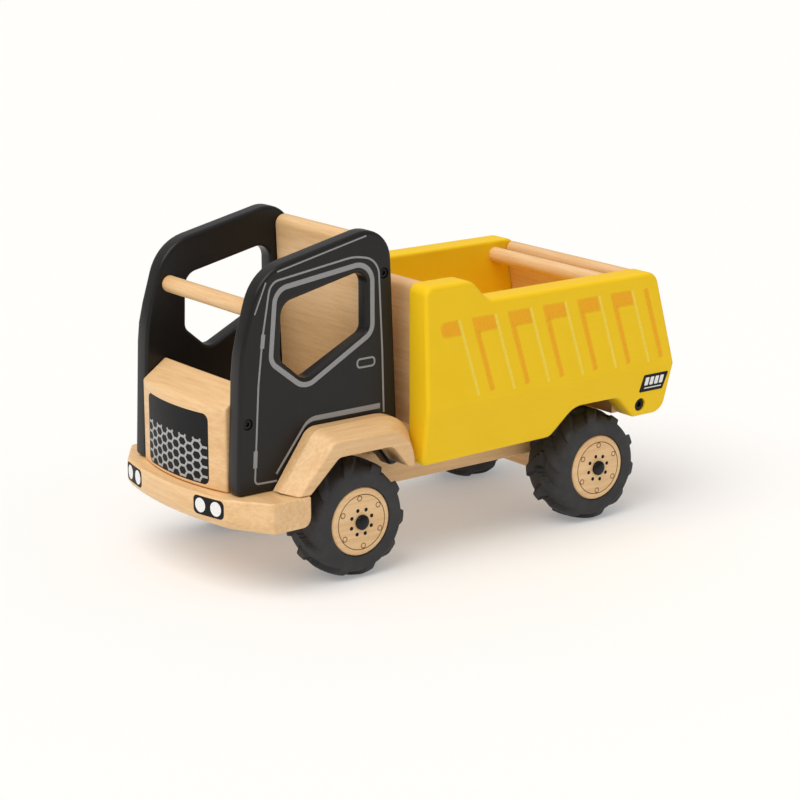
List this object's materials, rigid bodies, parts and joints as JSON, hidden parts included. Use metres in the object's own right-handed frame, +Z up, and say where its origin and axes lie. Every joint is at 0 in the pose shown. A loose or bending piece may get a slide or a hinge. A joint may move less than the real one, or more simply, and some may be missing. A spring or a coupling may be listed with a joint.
{
  "type": "toy dump truck",
  "caption": "Wooden toy dump truck with an open black cab, a yellow load body that tips on a rear pivot, a top-hung swinging tailgate and free-turning rubber-tyred wheels.",
  "frame": {"origin": "on the floor under the middle of the truck's overall box", "axes": "+X forward along the truck, +Y to the truck's left, +Z up"},
  "size_m": [0.3289, 0.16, 0.2014],
  "materials": {
    "natural_wood": "clear satin lacquer on pale beech",
    "black_painted_wood": "satin black paint with printed silver lines",
    "yellow_painted_wood": "satin yellow paint with printed ribs",
    "black_rubber": "matt moulded rubber",
    "black_steel": "black oxide",
    "bright_steel": "bright drawn steel"
  },
  "bodies": {
    "chassis": {"bumper_peg_left": "natural_wood", "bumper_peg_right": "natural_wood", "cab_rear_wall": "natural_wood", "cab_screw_front_left": "black_steel", "cab_screw_front_right": "black_steel", "cab_screw_rear_left": "black_steel", "cab_screw_rear_right": "black_steel", "cab_side_left": "black_painted_wood", "cab_side_right": "black_painted_wood", "chassis_board": "natural_wood", "fender_left": "natural_wood", "fender_right": "natural_wood", "front_axle": "bright_steel", "front_axle_block": "natural_wood", "front_axle_cap_left": "black_steel", "front_axle_cap_right": "black_steel", "front_block_screw_left": "black_steel", "front_block_screw_right": "black_steel", "front_bumper": "natural_wood", "grille_board": "natural_wood", "grille_board_peg_left": "natural_wood", "grille_board_peg_right": "natural_wood", "pivot_bar": "natural_wood", "rear_axle": "bright_steel", "rear_axle_block": "natural_wood", "rear_axle_cap_left": "black_steel", "rear_axle_cap_right": "black_steel", "rear_block_screw_left": "black_steel", "rear_block_screw_right": "black_steel", "rear_wall_peg_left": "natural_wood", "rear_wall_peg_right": "natural_wood", "windscreen_bar": "natural_wood"},
    "dump_body": {"body_crossbar": "natural_wood", "body_floor": "yellow_painted_wood", "body_front_wall": "natural_wood", "body_rest_batten": "natural_wood", "body_side_left": "yellow_painted_wood", "body_side_right": "yellow_painted_wood", "pivot_screw_left": "black_steel", "pivot_screw_right": "black_steel", "tailgate_pin_left": "bright_steel", "tailgate_pin_right": "bright_steel"},
    "tailgate": {"tailgate": "natural_wood"},
    "front_wheel_left": {"front_hub_left": "natural_wood", "front_tyre_left": "black_rubber"},
    "front_wheel_right": {"front_hub_right": "natural_wood", "front_tyre_right": "black_rubber"},
    "rear_wheel_left": {"rear_hub_left": "natural_wood", "rear_tyre_left": "black_rubber"},
    "rear_wheel_right": {"rear_hub_right": "natural_wood", "rear_tyre_right": "black_rubber"}
  },
  "joints": [
    {"name": "tip", "type": "hinge", "parent": "chassis", "child": "dump_body", "pos_m": [-0.139, 0, 0.071], "axis": [0, -1, 0], "range_deg": [0, 50]},
    {"name": "tailgate_swing", "type": "hinge", "parent": "dump_body", "child": "tailgate", "pos_m": [-0.1465, 0, 0.1488], "axis": [0, 1, 0], "range_deg": [0, 80]},
    {"name": "front_wheel_left_spin", "type": "hinge", "parent": "chassis", "child": "front_wheel_left", "pos_m": [0.077, 0, 0.035], "axis": [0, 1, 0], "continuous": true},
    {"name": "front_wheel_right_spin", "type": "hinge", "parent": "chassis", "child": "front_wheel_right", "pos_m": [0.077, 0, 0.035], "axis": [0, 1, 0], "continuous": true},
    {"name": "rear_wheel_left_spin", "type": "hinge", "parent": "chassis", "child": "rear_wheel_left", "pos_m": [-0.1062, 0, 0.035], "axis": [0, 1, 0], "continuous": true},
    {"name": "rear_wheel_right_spin", "type": "hinge", "parent": "chassis", "child": "rear_wheel_right", "pos_m": [-0.1062, 0, 0.035], "axis": [0, 1, 0], "continuous": true}
  ]
}
